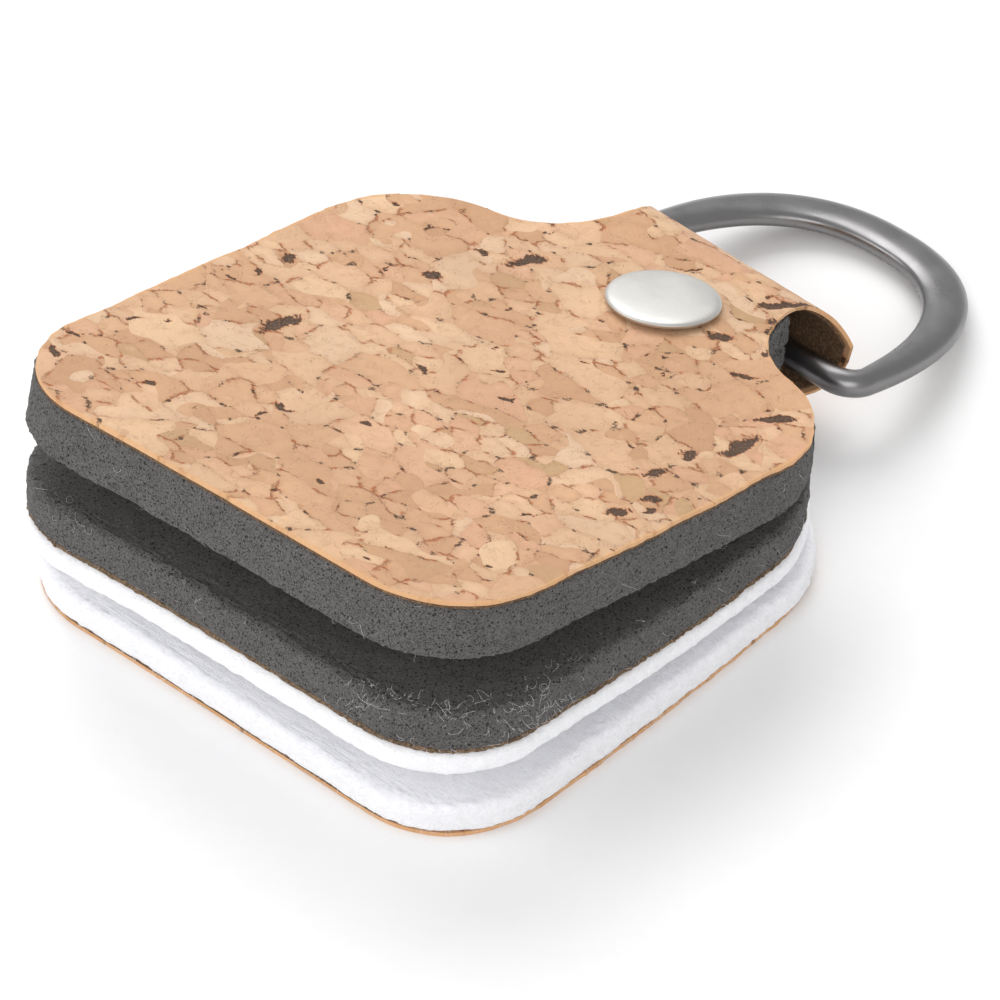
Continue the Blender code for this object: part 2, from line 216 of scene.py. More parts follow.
def cover_path():
    """Outer surface of the cork from the top hinge line round the bar to the front of the panel.

    Returns the distance walked, y, z and the distance along the flat strip, and the fold's place.
    """
    size = sizes()
    upper_slope, upper_touch = tangent_to_fold(HINGE_Y, HINGE_Z, 1)
    lower_slope, lower_touch = tangent_to_fold(*LIFT_END, -1)
    reach = 12.0 * MM
    run = np.arange(-reach, (size.fold_y - HINGE_Y) * 2, PATH_STEP)
    upper_y = HINGE_Y + run * math.cos(upper_slope)
    upper_z = HINGE_Z + run * math.sin(upper_slope)
    touch_y = size.fold_y + size.fold_radius * math.cos(upper_touch)
    keep = upper_y < touch_y
    turn = np.linspace(upper_touch, lower_touch, 200)
    arc_y = size.fold_y + size.fold_radius * np.cos(turn)
    arc_z = size.fold_z + size.fold_radius * np.sin(turn)
    lower_y = np.arange(arc_y[-1], -SIDE / 2 - PATH_STEP, -PATH_STEP)
    lower_z = np.where(
        lower_y > LIFT_END[0],
        LIFT_END[1] + (lower_y - LIFT_END[0]) * math.tan(lower_slope),
        np.interp(lower_y, [LIFT_START_Y, LIFT_END[0]], [0, LIFT_END[1]]),
    )
    lower_z = np.maximum(rub_smooth(lower_z, 40), 0)
    y = np.concatenate([upper_y[keep], arc_y[1:], lower_y[1:]])
    z = np.concatenate([upper_z[keep], arc_z[1:], lower_z[1:]])
    walked = np.concatenate([[0], np.cumsum(np.hypot(np.diff(y), np.diff(z)))]) - reach
    fold = walked[np.argmax(y)]
    along = HINGE_Y + walked
    fold_along = HINGE_Y + fold
    settled = LIFT_END[0]
    below = walked > fold
    along[below] = np.where(
        y[below] < settled,
        y[below],
        np.interp(y[below], [settled, y.max()], [settled, fold_along]),
    )
    return walked, y, z, along, fold


class CoverPath:
    """The folded strip as a curve that can be read at any place."""

    def __init__(self):
        self.walked, self.y, self.z, self.along, self.fold = cover_path()
        run_y, run_z = np.gradient(self.y), np.gradient(self.z)
        size = np.hypot(run_y, run_z)
        self.out_y, self.out_z = -run_z / size, run_y / size
        below = self.walked >= self.fold
        self.upper = (self.along[~below], self.walked[~below])
        self.lower = (self.along[below][::-1], self.walked[below][::-1])

    def walked_at(self, along, upper):
        """Distance walked to a place on the flat strip, on the upper or the lower side."""
        return np.interp(along, *(self.upper if upper else self.lower))

    def point(self, walked, depth):
        """(y, z) at a depth under the outer surface."""
        y, z, out_y, out_z = (
            np.interp(walked, self.walked, row) for row in (self.y, self.z, self.out_y, self.out_z)
        )
        return y - out_y * depth, z - out_z * depth


def leaf_point(along, height, tilt):
    """(y, z) in a leaf that is tilted about the hinge line, height above that line."""
    run = along - HINGE_Y
    return (
        HINGE_Y + run * math.cos(tilt) + height * math.sin(tilt),
        HINGE_Z - run * math.sin(tilt) + height * math.cos(tilt),
    )


def neck_shares():
    """Lower and upper share of the neck's height for each layer, from the lower felt upwards."""
    size = sizes()
    squeezed = (0.9, 1.25, 1.0, 0.75, 0.7)
    layers = (size.lower_felt, size.upper_felt, size.divider, size.middle_foam, size.top_foam)
    heights = np.array([layer * share for layer, share in zip(layers, squeezed)])
    tops = np.cumsum(heights) / heights.sum()
    return {
        name: (low, high)
        for name, low, high in zip(
            ("lower_felt", "upper_felt", "divider", "middle_foam", "top_foam"), [0, *tops], tops
        )
    }


def front_share(along):
    """0 at the hinge line and 1 at the front edge."""
    return np.clip((HINGE_Y - along) / (HINGE_Y + SIDE / 2), 0, 1)


def middle_heights(along):
    """Heights of the middle leaf's surfaces against the hinge line, from the foam's top down."""
    size = sizes()
    share = front_share(along)
    foam_top = np.full_like(along, -5.68 * MM)
    foam_low = foam_top - size.middle_foam * (0.86 + 0.14 * share)
    divider_low = foam_low - size.divider
    felt_low = divider_low - size.upper_felt * (0.78 + 0.22 * share)
    return {"middle_foam": (foam_low, foam_top), "divider": (divider_low, foam_low),
            "upper_felt": (felt_low, divider_low)}


def layer_surface(path, layer, level, along):
    """(y, z) of a layer's lower (level 0) to upper (level 1) surface at places along the strip."""
    size = sizes()
    skin = size.cork + size.backing
    low_share, high_share = neck_shares()[layer]
    share = low_share + (high_share - low_share) * level
    upper_y, upper_z = path.point(path.walked_at(along, True), skin)
    lower_y, lower_z = path.point(path.walked_at(along, False), skin)
    neck_y = lower_y + (upper_y - lower_y) * share
    neck_z = lower_z + (upper_z - lower_z) * share
    if layer == "top_foam":
        height = -skin - size.top_foam * (1 - level) * (0.95 + 0.05 * front_share(along))
        leaf_y, leaf_z = leaf_point(along, height, size.top_tilt)
    elif layer == "lower_felt":
        top = size.lower_felt * (0.88 + 0.12 * front_share(along))
        leaf_y, leaf_z = lower_y, np.maximum(lower_z, 0) + (top - (lower_z - skin)) * level
        leaf_z = lower_z + np.maximum(top - np.maximum(lower_z - skin, 0), 0.6 * MM) * level
    else:
        low, high = middle_heights(along)[layer]
        leaf_y, leaf_z = leaf_point(along, low + (high - low) * level, size.middle_tilt)
    pinch = smooth(along, 15 * MM, 23 * MM)
    return leaf_y + (neck_y - leaf_y) * pinch, leaf_z + (neck_z - leaf_z) * pinch


# How each leaf lies against the bottom panel: shift across, shift along, lift and twist
LIE = {
    "top": (0.0, -0.9 * MM, 0.45 * MM, 0.055),
    "middle": (0.6 * MM, -0.4 * MM, 0.95 * MM, 0.032),
    "bottom": (0.0, 0.0, 0.0, 0.0),
}
# Corners that are rounder than the rest: x, y and how far they draw in
CORNER_PULLS = {
    "top": ((-23 * MM, -24 * MM, -0.5 * MM), (23 * MM, 18 * MM, 0.8 * MM)),
    "middle": ((-24 * MM, -24 * MM, -1.2 * MM), (23 * MM, 18 * MM, 1.6 * MM)),
    "bottom": ((-24 * MM, -24 * MM, -0.5 * MM), (23 * MM, 18 * MM, 0.9 * MM)),
}
LEAF_OF_LAYER = {
    "top_foam": "top",
    "middle_foam": "middle",
    "divider": "middle",
    "upper_felt": "middle",
    "lower_felt": "bottom",
}
NECK_BEND = 0.4 * MM
NECK_FLARE = 1.0 * MM


def settle(points, along, leaf):
    """Shift and twist a leaf a little, as soft hand-made leaves lie, fading into the neck."""
    across, forward, lift, twist = LIE[leaf]
    free = 1 - smooth(along, 18 * MM, 31 * MM)
    lever = np.clip((HINGE_Y - points[:, 1]) / (HINGE_Y + SIDE / 2), 0, 1)
    for corner_x, corner_y, pull in CORNER_PULLS[leaf]:
        near = np.hypot(points[:, 0] - corner_x, points[:, 1] - corner_y) / (11 * MM)
        pull = pull * np.exp(-near**2)
        points[:, 0] -= pull * math.copysign(0.72, corner_x)
        points[:, 1] -= pull * math.copysign(0.69, corner_y)
    x = points[:, 0].copy()
    points[:, 0] += free * across
    points[:, 1] += (0.35 * free + 0.65 * lever) * forward
    points[:, 2] += lever * lift
    points[:, 2] += (1 - smooth(along, 22 * MM, 34 * MM)) * twist * x
    return bend_neck(points, along)


def bend_neck(points, along):
    """Lean the neck's end to one side and widen it a little where it folds."""
    size = sizes()
    x = points[:, 0]
    flare = smooth(along, size.notch_y, size.notch_y + 4 * MM) * NECK_FLARE
    points[:, 0] += flare * x / (9.5 * MM) + smooth(along, 23 * MM, 36 * MM) * NECK_BEND
    return points


# ---------------------------------------------------------------- modelling helpers


def deselect():
    """Leave object mode's selection empty."""
    if bpy.context.mode != "OBJECT":
        bpy.ops.object.mode_set(mode="OBJECT")
    bpy.ops.object.select_all(action="DESELECT")


def block(name, rows, columns, layers):
    """A unit grid pulled up in layers to a closed block, named, at the origin."""
    deselect()
    bpy.ops.mesh.primitive_grid_add(x_subdivisions=columns, y_subdivisions=rows, size=2)
    piece = bpy.context.object
    piece.name = piece.data.name = name
    bpy.ops.object.mode_set(mode="EDIT")
    bpy.ops.mesh.select_all(action="SELECT")
    for _ in range(layers):
        bpy.ops.mesh.extrude_region_move(TRANSFORM_OT_translate={"value": (0, 0, 1 / layers)})
    bpy.ops.mesh.select_all(action="SELECT")
    bpy.ops.mesh.normals_make_consistent(inside=False)
    bpy.ops.object.mode_set(mode="OBJECT")
    return piece


def read_points(piece):
    """The piece's points as an array."""
    flat = np.empty(len(piece.data.vertices) * 3, np.float32)
    piece.data.vertices.foreach_get("co", flat)
    return flat.reshape(-1, 3).astype(float)


def write_points(piece, points):
    """Move the piece's points to an array."""
    piece.data.vertices.foreach_set("co", points.astype(np.float32).ravel())
    piece.data.update()


def edge_columns(width, step, coarse):
    """Places from -1 to 1 across a piece, close together near both edges and coarse between."""
    rim = 3.0 * MM
    fine = np.arange(0, rim, step)
    middle = np.linspace(rim, 2 * width - rim, max(2, math.ceil((2 * width - 2 * rim) / coarse)))
    places = np.concatenate([fine, middle, 2 * width - fine[::-1]])
    return places / width - 1


def pattern_places(piece, rows, columns):
    """(across, along, level, row, column) of each point of a block made from a pattern."""
    points = read_points(piece)
    row = np.rint((points[:, 1] + 1) / 2 * (len(rows) - 1)).astype(int)
    column = np.rint((points[:, 0] + 1) / 2 * (len(columns) - 1)).astype(int)
    return columns[column], rows[row], points[:, 2], row, column


def add_strip_map(piece, across, along):
    """UV map of the flat strip, one unit to a decimetre, so a pattern runs on round the fold."""
    flat = np.column_stack([across, along]) / (100 * MM)
    corners = np.empty(len(piece.data.loops), np.int32)
    piece.data.loops.foreach_get("vertex_index", corners)
    layer = piece.data.uv_layers.new(name="strip")
    layer.uv.foreach_set("vector", flat[corners].astype(np.float32).ravel())


def add_values(piece, name, values):
    """Keep a value on each point for the material."""
    layer = piece.data.attributes.new(name, "FLOAT", "POINT")
    layer.data.foreach_set("value", values.astype(np.float32))


def flat_noise(across, strip, grain):
    """Smooth noise over the flat strip, as an array of vectors."""
    return np.array([noise.noise_vector(Vector((x, y, grain * 40)))
                     for x, y in zip((across / grain).tolist(), (strip / grain).tolist())])


def all_marks():
    """Marks of outer bark and a scatter of small specks, in millimetres on the flat strip from
    the pad's centre: place across, place along, half length, half width, angle in degrees."""
    chance = np.random.default_rng(11)
    specks = [
        (chance.uniform(-24, 24), chance.uniform(-25, 96), chance.uniform(0.2, 0.75),
         chance.uniform(0.1, 0.28), chance.uniform(0, 180))
        for _ in range(70)
    ]
    # A few marks are long and most are short
    bark = [
        (chance.uniform(-23, 23), chance.uniform(-24, 94), 0.6 + 2.2 * chance.random() ** 2,
         chance.uniform(0.25, 0.65), chance.uniform(0, 90))
        for _ in range(32)
    ]
    return [*bark, *specks]


def bark_share(across, strip):
    """How much of a bark mark lies at each place on the flat strip, from 0 to 1."""
    drift = flat_noise(across, strip, 0.9 * MM) * 0.42 + flat_noise(across, strip, 2.6 * MM) * 0.7
    x, y = across / MM + drift[:, 0], strip / MM + drift[:, 1]
    bark = np.zeros(len(x))
    for mark_x, mark_y, half_length, half_thick, degrees in all_marks():
        near = np.flatnonzero(np.hypot(x - mark_x, y - mark_y) < 2.2 * half_length + 0.6)
        turn = math.radians(degrees)
        off_x, off_y = x[near] - mark_x, y[near] - mark_y
        run = off_x * math.cos(turn) + off_y * math.sin(turn)
        side = off_y * math.cos(turn) - off_x * math.sin(turn)
        reach = np.hypot(run / half_length, side / half_thick)
        bark[near] = np.maximum(bark[near], np.clip(1.5 - 0.8 * reach, 0, 1))
    return bark


def relief(across, strip):
    """Depth of the cork's unevenness: soft waves, small lumps and dents at the bark marks."""
    waves = flat_noise(across, strip, 6 * MM)[:, 2] * 0.07
    lumps = flat_noise(across, strip, 1.1 * MM)[:, 2] * 0.03
    return (waves + lumps + bark_share(across, strip) * 0.09) * MM


def edge_wear(across, strip):
    """Small unevenness of the cut edge, none in the middle."""
    wear = flat_noise(np.sign(across) * 30 * MM, strip, 0.7 * MM)[:, 0] * 0.1
    wear += flat_noise(np.sign(across) * 30 * MM, strip, 5 * MM)[:, 1] * 0.25
    return np.where(np.abs(across) > 0.97, wear * MM, 0)


def mark_cork(piece, across, strip, along):
    """Keep how near each point is to a bark mark and to the cut edge."""
    add_values(piece, "bark", bark_share(across, strip))
    rim = np.minimum(half_width(along) - np.abs(across), along + SIDE / 2) / MM
    add_values(piece, "cut", np.clip(1 - rim / 0.6, 0, 1))


def finish_smooth(piece, degrees):
    """Shade a piece smooth, with sharp edges over an angle."""
    deselect()
    piece.select_set(True)
    bpy.context.view_layer.objects.active = piece
    bpy.ops.object.shade_smooth_by_angle(angle=math.radians(degrees))


def roughen(points, amount, grain, seed):
    """A vector of smooth noise for each point."""
    offset = Vector((seed * 7.3, seed * 3.1, seed * 5.7))
    return amount * np.array([noise.noise_vector(Vector(p) / grain + offset) for p in points])


# ---------------------------------------------------------------- materials


class Shading:
    """A material's nodes, added one at a time."""

    def __init__(self, name, roughness, metallic=0.0, sheen=0.0, specular=0.5, coat=0.0):
        self.material = bpy.data.materials.new(name)
        self.material.use_nodes = True
        self.tree = self.material.node_tree
        self.shader = self.tree.nodes["Principled BSDF"]
        self.shader.inputs["Roughness"].default_value = roughness
        self.shader.inputs["Metallic"].default_value = metallic
        self.shader.inputs["Sheen Weight"].default_value = sheen
        self.shader.inputs["Specular IOR Level"].default_value = specular
        self.shader.inputs["Coat Weight"].default_value = coat

    def node(self, kind, output, settings=(), **inputs):
        """Add a node, set or link its inputs, and return one output."""
        node = self.tree.nodes.new("ShaderNode" + kind)
        for key, value in dict(settings).items():
            setattr(node, key, value)
        for key, value in inputs.items():
            name = key.replace("_", " ") if not key.startswith("n") else int(key[1:])
            self.feed(node.inputs[name], value)
        return node.outputs[output]

    def feed(self, socket, value):
        """Link a socket or set its value."""
        if isinstance(value, bpy.types.NodeSocket):
            self.tree.links.new(value, socket)
        elif isinstance(value, tuple) and len(value) == 3 and socket.type == "RGBA":
            socket.default_value = (*value, 1)
        else:
            socket.default_value = value

    def object_place(self, scale):
        """Object coordinates times a scale: 1000 gives millimetres."""
        place = self.node("TexCoord", "Object")
        return self.node("VectorMath", 0, {"operation": "SCALE"}, n0=place, n3=scale)

    def strip_place(self):
        """Millimetres along the flat strip, from the piece's own map."""
        place = self.node("UVMap", "UV", {"uv_map": "strip"})
        return self.node("VectorMath", 0, {"operation": "SCALE"}, n0=place, n3=100.0)

    def attribute(self, name):
        """A value kept on the piece's points."""
        return self.node("Attribute", "Fac", {"attribute_name": name})

    def noise(self, place, scale, detail=3.0, rough=0.5, output="Fac", distort=0.0):
        """Noise at a place in millimetres."""
        return self.node("TexNoise", output, Vector=place, Scale=scale, Detail=detail,
                         Roughness=rough, Distortion=distort)

    def cells(self, place, scale, output, feature="F1", kind="3D", random=1.0):
        """A Voronoi pattern at a place in millimetres."""
        return self.node("TexVoronoi", output, {"feature": feature, "voronoi_dimensions": kind},
                         Vector=place, Scale=scale, Randomness=random)

    def math(self, operation, first, second=0.0, third=0.0):
        """Arithmetic."""
        return self.node("Math", 0, {"operation": operation}, n0=first, n1=second, n2=third)

    def ramp(self, value, low, high, to_low=0.0, to_high=1.0):
        """Map a value smoothly from one range to another."""
        return self.node("MapRange", "Result", {"interpolation_type": "SMOOTHSTEP"}, Value=value,
                         From_Min=low, From_Max=high, To_Min=to_low, To_Max=to_high)

    def mix(self, share, first, second, blend="MIX"):
        """Mix two colours."""
        return self.node("Mix", 2, {"data_type": "RGBA", "blend_type": blend}, n0=share,
                         n6=first, n7=second)

    def vary(self, value, centre, spread):
        """A grey that runs about a centre, to multiply a colour by."""
        level = self.math("MULTIPLY_ADD", value, 2 * spread, centre - spread)
        return self.node("CombineColor", 0, Red=level, Green=level, Blue=level)

    def colours(self, value, stops, step=False):
        """A colour ramp."""
        node = self.tree.nodes.new("ShaderNodeValToRGB")
        node.color_ramp.interpolation = "CONSTANT" if step else "LINEAR"
        while len(node.color_ramp.elements) < len(stops):
            node.color_ramp.elements.new(0.5)
        for element, (place, paint) in zip(node.color_ramp.elements, stops):
            element.position = place
            element.color = (*paint, 1)
        self.feed(node.inputs[0], value)
        return node.outputs[0]

    def bump(self, height, distance, strength=1.0, under=None):
        """A bump of a height in metres."""
        extra = {} if under is None else {"Normal": under}
        return self.node("Bump", "Normal", Height=height, Distance=distance, Strength=strength,
                         **extra)

    def finish(self, paint, normal=None, roughness=None):
        """Send the results to the shader."""
        self.feed(self.shader.inputs["Base Color"], paint)
        if normal is not None:
            self.feed(self.shader.inputs["Normal"], normal)
        if roughness is not None:
            self.feed(self.shader.inputs["Roughness"], roughness)
        return self.material


def cork_material():
    """Cork veneer: a mosaic of bark flakes with seams, grain, pits and bark marks."""
    tone = bpy.context.scene.pad_colours
    light, warm, deep = (tuple(c) for c in (tone.cork_light, tone.cork_warm, tone.cork_deep))
    bark, rust = tuple(tone.cork_bark), tuple(tone.cork_rust)
    make = Shading("cork", 0.62, specular=0.35)
    flat = make.strip_place()
    drift = make.noise(flat, 0.35, 2.0, output="Color")
    drift = make.node("VectorMath", 0, {"operation": "SCALE"}, n0=drift, n3=1.6)
    place = make.node("VectorMath", 0, {"operation": "ADD"}, n0=flat, n1=drift)
    wobble = make.noise(flat, 2.4, 3.0, 0.6, output="Color")
    wobble = make.node("VectorMath", 0, {"operation": "SCALE"}, n0=wobble, n3=0.32)
    place = make.node("VectorMath", 0, {"operation": "ADD"}, n0=place, n1=wobble)
    place = make.node("Mapping", 0, n0=place, n2=(0, 0, math.radians(28)), n3=(0.8, 1.25, 1))
    which = make.math("GREATER_THAN", make.noise(flat, 0.16, 1.0), 0.5)
    flake, seam = [], []
    for scale in (0.2, 0.46):
        flake.append(make.cells(place, scale, "Color", kind="2D"))
        edge = make.cells(place, scale, "Distance", "DISTANCE_TO_EDGE", "2D")
        seam.append(make.math("DIVIDE", edge, scale))
    flake = make.mix(which, *flake)
    seam = make.node("Mix", 0, {"data_type": "FLOAT"}, n0=which, n2=seam[0], n3=seam[1])
    parts = make.node("SeparateColor", 0, Color=flake)
    pick, turn, lift = parts, parts.node.outputs[1], parts.node.outputs[2]
    pink = tuple(a * b for a, b in zip(warm, (1.04, 1.0, 1.08)))
    tan = tuple((a + b) / 2 for a, b in zip(warm, deep))
    olive = tuple(a * b for a, b in zip(tan, (0.95, 1.08, 1.0)))
    cream = tuple(a * b for a, b in zip(light, (1.0, 1.04, 1.12)))
    paint = make.colours(pick, ((0.0, warm), (0.14, pink), (0.32, light), (0.5, warm),
                                (0.62, cream), (0.74, warm), (0.93, tan), (1.0, olive)))
    spin = make.node("VectorRotate", 0, {"rotation_type": "Z_AXIS"}, Vector=place,
                     Angle=make.math("MULTIPLY", turn, 3.14))
    grain_place = make.node("Mapping", 0, n0=spin, n3=(0.7, 3.6, 1))
    grain = make.noise(grain_place, 1.7, 6.0, 0.72)
    paint = make.mix(1.0, paint, make.vary(grain, 1.0, 0.2), "MULTIPLY")
    patch = make.noise(flat, 0.09, 2.0)
    paint = make.mix(1.0, paint, make.vary(patch, 1.0, 0.22), "MULTIPLY")
    cloud = make.noise(flat, 0.9, 4.0, 0.6)
    paint = make.mix(make.ramp(cloud, 0.5, 0.78, 0, 0.5), paint, deep)
    paint = make.mix(make.ramp(cloud, 0.42, 0.2, 0, 0.45), paint, cream)
    # short fibres and pores in the flakes
    stretched = make.node("Mapping", 0, n0=spin, n3=(1.0, 2.2, 1))
    pores = make.cells(stretched, 2.6, "Distance", kind="2D")
    pore = make.math("MULTIPLY", make.ramp(pores, 0.2, 0.06), make.ramp(
        make.noise(flat, 0.8, 2.0), 0.5, 0.62))
    paint = make.mix(make.math("MULTIPLY", pore, 0.5), paint, deep)
    # seams between flakes, darker and redder in places, and painted shade that darkens each flake
    # towards its edge
    strong = make.noise(flat, 0.55, 2.0)
    line = make.math(
        "MULTIPLY", make.ramp(seam, 0.13, 0.02), make.ramp(strong, 0.48, 0.63, 0.08, 1)
    )
    # painted shade: each flake grows darker towards its edge, like the shade along an overlapping
    # shingle
    paint = make.mix(make.ramp(seam, 0.9, 0.05, 0, 0.22), paint, deep)
    paint = make.mix(make.math("MULTIPLY", line, 0.65), paint, tuple(
        x * y for x, y in zip(deep, (0.62, 0.5, 0.45))))
    wide = make.math("MULTIPLY", make.ramp(seam, 0.32, 0.1), make.ramp(strong, 0.53, 0.6))
    rusty = make.math("MULTIPLY", wide, make.ramp(make.noise(flat, 3.0, 2.0), 0.46, 0.54))
    paint = make.mix(make.math("MULTIPLY", rusty, 0.85), paint, rust)
    # pits where flakes don't meet, and the marks of the outer bark
    ragged = make.noise(make.node("Mapping", 0, n0=place, n3=(1, 1.8, 1)), 2.2, 4.0, 0.7)
    gap = make.math("MULTIPLY", make.ramp(seam, 0.3, 0.05), make.ramp(
        make.noise(flat, 0.75, 3.0, 0.6), 0.59, 0.65))
    gap = make.math("MULTIPLY", gap, make.ramp(ragged, 0.42, 0.5))
    marks = make.math("MULTIPLY_ADD", ragged, 1.7, make.attribute("bark"))
    mark = make.ramp(marks, 1.42, 1.6)
    halo = make.math("MULTIPLY", make.ramp(marks, 1.2, 1.42), make.ramp(
        make.attribute("bark"), 0.02, 0.3))
    paint = make.mix(make.math("MULTIPLY", halo, 0.6), paint, rust)
    hole = make.math("MAXIMUM", gap, mark)
    dark = make.mix(make.ramp(make.noise(flat, 4.0, 4.0, 0.7), 0.5, 0.7), bark, tuple(
        x * 0.55 for x in deep))
    paint = make.mix(hole, paint, dark)
    dust = make.ramp(make.noise(flat, 9.0, 3.0, 0.7), 0.62, 0.72)
    paint = make.mix(make.math("MULTIPLY", dust, 0.35), paint, cream)
    crumb = make.math("MULTIPLY", make.ramp(make.noise(flat, 6.0, 4.0, 0.75), 0.6, 0.68), make.ramp(
        cloud, 0.42, 0.6))
    paint = make.mix(make.math("MULTIPLY", crumb, 0.5), paint, tuple(x * 0.55 for x in deep))
    cut = make.attribute("cut")
    frayed = make.math("MULTIPLY_ADD", make.noise(flat, 3.0, 4.0, 0.7), 1.1, cut)
    fray = make.ramp(frayed, 1.0, 1.35)
    paint = make.mix(make.math("MULTIPLY", fray, 0.65), paint, tuple(x * y for x, y in zip(
        light, (0.98, 0.82, 0.62))))
    height = make.math("MULTIPLY_ADD", lift, 0.5, make.math("MULTIPLY", grain, 0.45))
    height = make.math("MULTIPLY_ADD", line, -0.7, height)
    height = make.math("MULTIPLY_ADD", hole, -1.6, height)
    height = make.math("MULTIPLY_ADD", pore, -0.4, height)
    shine = make.ramp(grain, 0.3, 0.7, 0.5, 0.74)
    return make.finish(paint, make.bump(height, 0.13 * MM, 1.0), shine)


def backing_material():
    """Cloth and glue with pale specks, in a dark tone that is partly their own colour and partly
    painted shade for the inside of the fold and the line under the cork's edge.
    """
    tone = tuple(bpy.context.scene.pad_colours.backing)
    make = Shading("cork backing", 0.85, specular=0.3)
    place = make.object_place(1000.0)
    weave = make.noise(place, 4.0, 3.0, 0.6)
    paint = make.mix(make.ramp(weave, 0.4, 0.7), tone, tuple(x * 2.2 for x in tone))
    speck = make.ramp(make.cells(place, 2.2, "Distance"), 0.1, 0.05)
    paint = make.mix(make.math("MULTIPLY", speck, 0.4), paint, (0.5, 0.45, 0.36))
    return make.finish(paint, make.bump(weave, 0.06 * MM))


def foam_material():
    """Open-celled grey foam rubber."""
    tone = tuple(bpy.context.scene.pad_colours.foam)
    make = Shading("foam", 0.88, specular=0.3, sheen=0.05)
    place = make.object_place(1000.0)
    wobble = make.noise(place, 3.0, 2.0, output="Color")
    wobble = make.node("VectorMath", 0, {"operation": "SCALE"}, n0=wobble, n3=0.25)
    place = make.node("VectorMath", 0, {"operation": "ADD"}, n0=place, n1=wobble)
    fine = make.cells(place, 6.6, "Distance")
    large = make.cells(place, 2.3, "Distance")
    cloud = make.noise(place, 0.5, 4.0, 0.6)
    crumb = make.noise(place, 5.5, 5.0, 0.75)
    paint = make.mix(1.0, tone, make.vary(cloud, 1.0, 0.3), "MULTIPLY")
    paint = make.mix(1.0, paint, make.vary(crumb, 1.08, 0.95), "MULTIPLY")
    pit = make.math("MULTIPLY", make.ramp(fine, 0.38, 0.22), make.ramp(
        make.noise(place, 3.2, 2.0), 0.34, 0.46))
    hole = make.ramp(large, 0.26, 0.16)
    paint = make.mix(make.math("MULTIPLY", pit, 0.9), paint, tuple(x * 0.12 for x in tone))
    paint = make.mix(make.ramp(fine, 0.55, 0.75, 0, 0.35), paint, tuple(x * 1.9 for x in tone))
    paint = make.mix(make.math("MULTIPLY", hole, 0.9), paint, tuple(x * 0.14 for x in tone))
    glint = make.ramp(make.cells(place, 3.4, "Distance"), 0.12, 0.05)
    paint = make.mix(make.math("MULTIPLY", glint, 0.5), paint, tuple(x * 2.6 for x in tone))
    height = make.math("MULTIPLY_ADD", pit, -0.6, make.math("MULTIPLY", crumb, 0.8))
    height = make.math("MULTIPLY_ADD", hole, -1.2, height)
    return make.finish(paint, make.bump(height, 0.12 * MM, 1.0))


def felt_material():
    """White needled felt."""
    tone = tuple(bpy.context.scene.pad_colours.felt)
    make = Shading("felt", 0.95, specular=0.15, sheen=0.25)
    make.shader.inputs["Subsurface Weight"].default_value = 0.35
    make.shader.inputs["Subsurface Radius"].default_value = (0.6 * MM, 0.6 * MM, 0.65 * MM)
    make.shader.inputs["Subsurface Scale"].default_value = 1.0
    place = make.object_place(1000.0)
    strands = []
    for turn, scale in ((0.4, 2.6), (1.5, 3.4), (2.6, 3.0)):
        way = make.node("Mapping", 0, n0=place, n2=(turn, 0.6 * turn, turn), n3=(0.6, 1.5, 1.5))
        strands.append(make.noise(way, scale, 3.0, 0.6, distort=0.6))
    fibre = make.math("MAXIMUM", strands[0], make.math("MAXIMUM", strands[1], strands[2]))
    clump = make.noise(place, 0.7, 3.0, 0.6)
    paint = make.mix(1.0, tone, make.vary(clump, 0.98, 0.05), "MULTIPLY")
    paint = make.mix(make.ramp(fibre, 0.58, 0.44), paint, tuple(x * 0.9 for x in tone))
    height = make.math("MULTIPLY_ADD", clump, 0.8, fibre)
    return make.finish(paint, make.bump(height, 0.22 * MM, 0.7))


def divider_material():
    """Brown fibre sheet with a fuzzy edge."""
    tone = tuple(bpy.context.scene.pad_colours.divider)
    make = Shading("divider", 0.9, specular=0.25)
    place = make.object_place(1000.0)
    fibre = make.noise(place, 4.5, 4.0, 0.65)
    paint = make.mix(make.ramp(fibre, 0.35, 0.65), tuple(x * 0.5 for x in tone),
                     tuple(x * 1.35 for x in tone))
    return make.finish(paint, make.bump(fibre, 0.12 * MM))


def metal_material(name, tone, low, high, brushed):
    """Satin metal with fine wear: roughness runs from low to high."""
    make = Shading(name, (low + high) / 2, 1.0)
    place = make.object_place(1000.0)
    cloud = make.noise(place, 0.35, 4.0, 0.6)
    brush = make.noise(make.node("Mapping", 0, n0=place, n3=brushed), 2.0, 3.0, 0.6)
    wear = make.ramp(make.noise(place, 2.2, 5.0, 0.75), 0.62, 0.7)
    paint = make.mix(1.0, tuple(tone), make.vary(brush, 1.0, 0.06), "MULTIPLY")
    paint = make.mix(make.math("MULTIPLY", wear, 0.1), paint, tuple(x * 0.7 for x in tone))
    rough = make.math("ADD", make.ramp(cloud, 0.35, 0.65, low, high),
                      make.math("MULTIPLY", wear, 0.04))
    grain = make.math("MULTIPLY_ADD", wear, -0.08, brush)
    return make.finish(paint, make.bump(grain, 0.006 * MM, 0.5), rough)


def fibre_material():
    """Loose pale lint."""
    make = Shading("lint", 0.8, specular=0.2, sheen=0.2)
    place = make.object_place(1000.0)
    paint = make.mix(make.noise(place, 0.8, 2.0), (0.72, 0.72, 0.75), (0.88, 0.87, 0.86))
    return make.finish(paint, make.bump(make.noise(place, 9.0, 2.0), 0.01 * MM))


def floor_material():
    """Pale paper with a faint tooth."""
    make = Shading("white floor", 0.9, specular=0.1)
    place = make.object_place(1000.0)
    paint = make.mix(make.noise(place, 0.4, 3.0), (0.93, 0.93, 0.93), (0.96, 0.96, 0.96))
    return make.finish(paint, make.bump(make.noise(place, 3.0, 3.0), 0.01 * MM))


def dress(piece, material):
    """Give a piece its only material."""
    piece.data.materials.clear()
    piece.data.materials.append(material)


# ---------------------------------------------------------------- pieces

